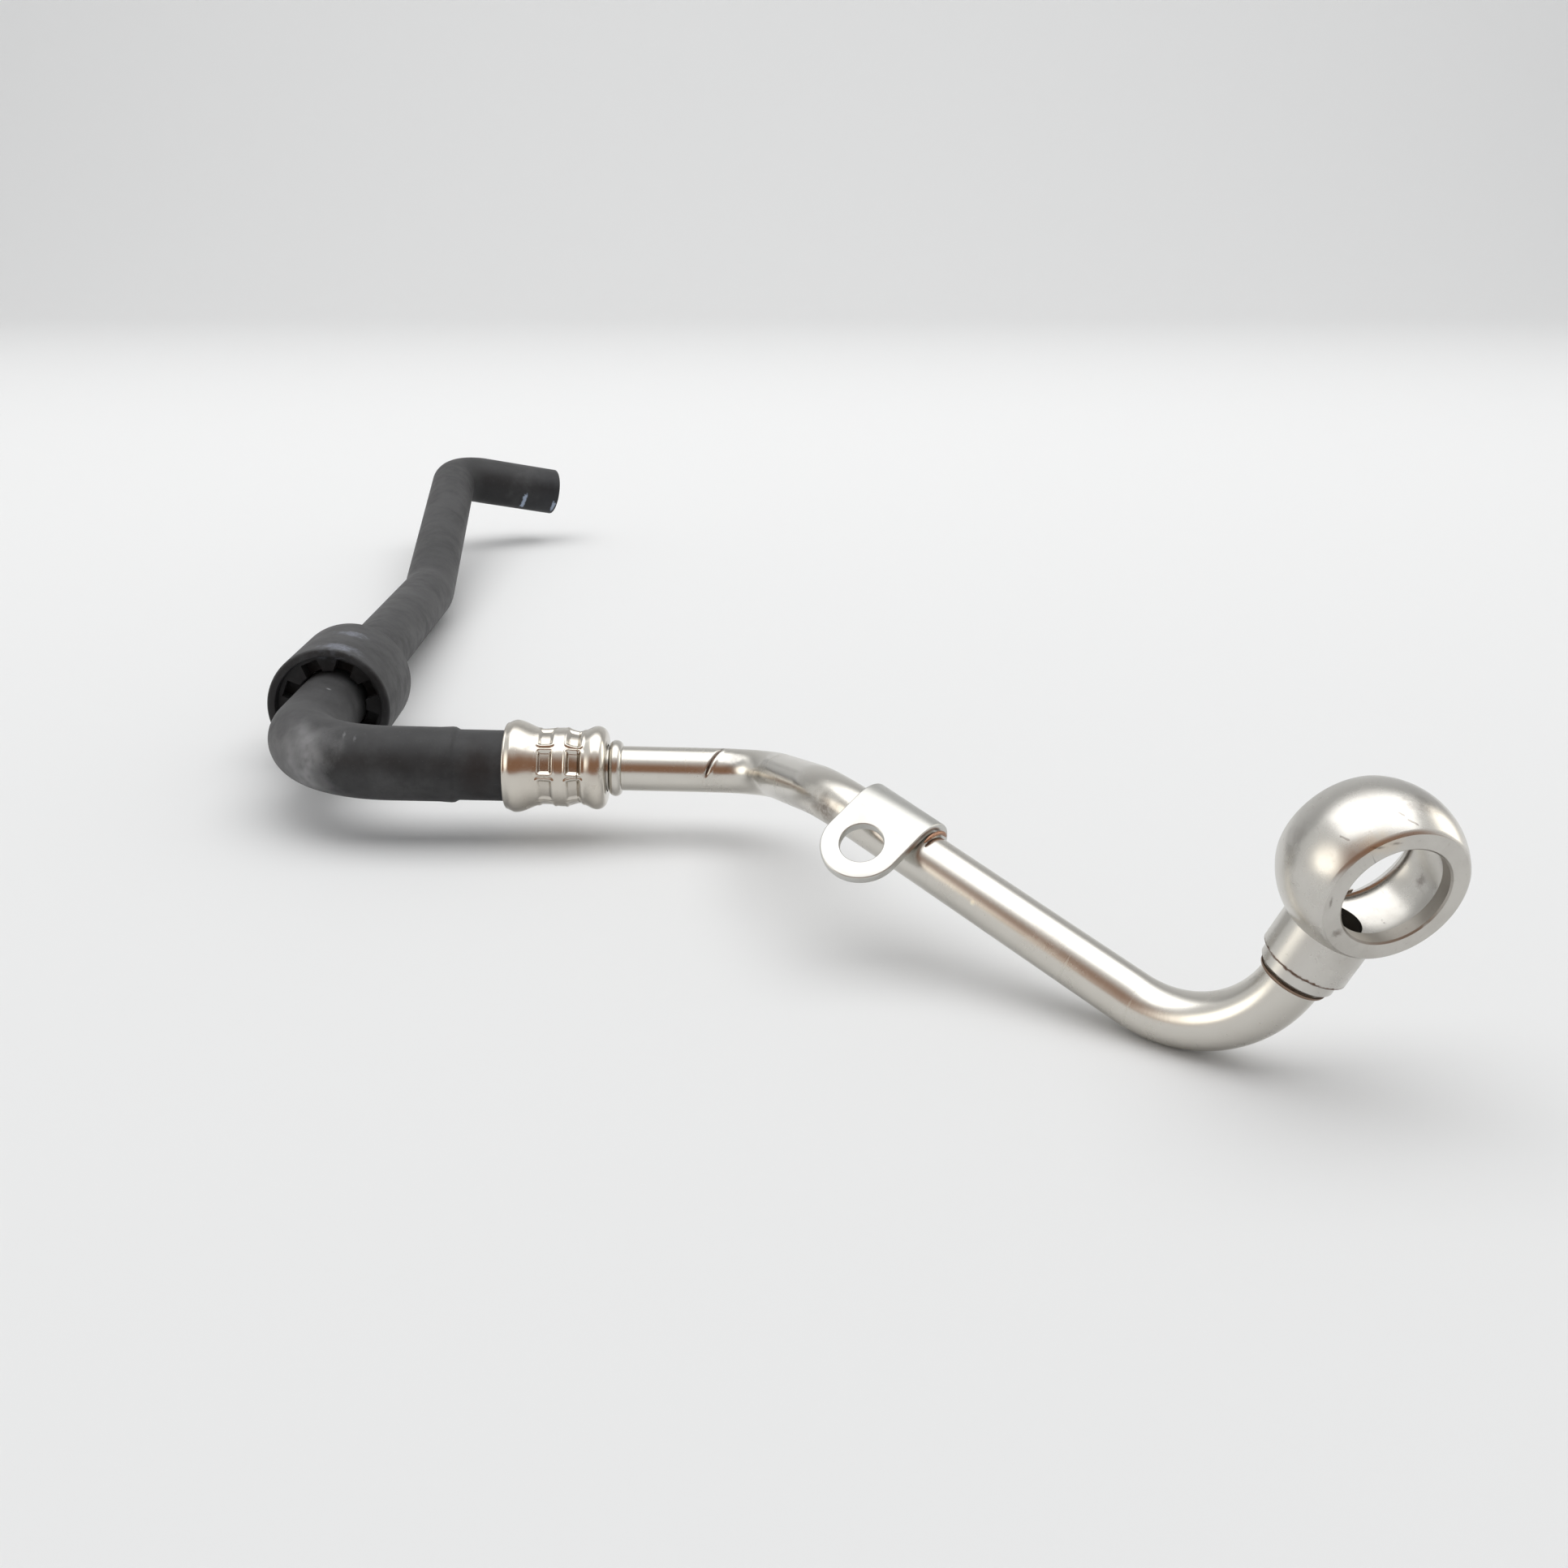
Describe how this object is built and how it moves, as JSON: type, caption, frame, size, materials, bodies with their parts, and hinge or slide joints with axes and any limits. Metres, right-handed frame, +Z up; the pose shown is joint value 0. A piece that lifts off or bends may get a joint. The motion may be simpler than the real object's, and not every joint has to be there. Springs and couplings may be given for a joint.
{
  "type": "coolant line",
  "caption": "Engine coolant line: preformed rubber hose crimped to a bent steel tube that ends in a ball banjo eye, with a bolt-on tab.",
  "frame": {"origin": "bottom centre of the bounding box, on the floor the line lies on", "axes": "+Z up from the floor; +Y along the line's length, from the banjo eye to the hose's far bend; +X from the hose side to the eye side"},
  "size_m": [0.1996, 0.3798, 0.0423],
  "materials": {
    "hose_rubber": "dusty satin",
    "collar_rubber": "moulded satin",
    "satin_steel": "satin",
    "turned_steel": "turned",
    "crimped_steel": "bright crimped",
    "plated_sheet": "plated",
    "braze": "dull"
  },
  "bodies": {
    "root": {"rubber_hose": "hose_rubber", "steel_tube": "satin_steel", "ferrule": "crimped_steel", "damper_collar": "collar_rubber", "banjo_fitting": "turned_steel", "banjo_braze_ring": "braze", "mounting_bracket": "plated_sheet", "bracket_braze": "braze"}
  },
  "joints": []
}
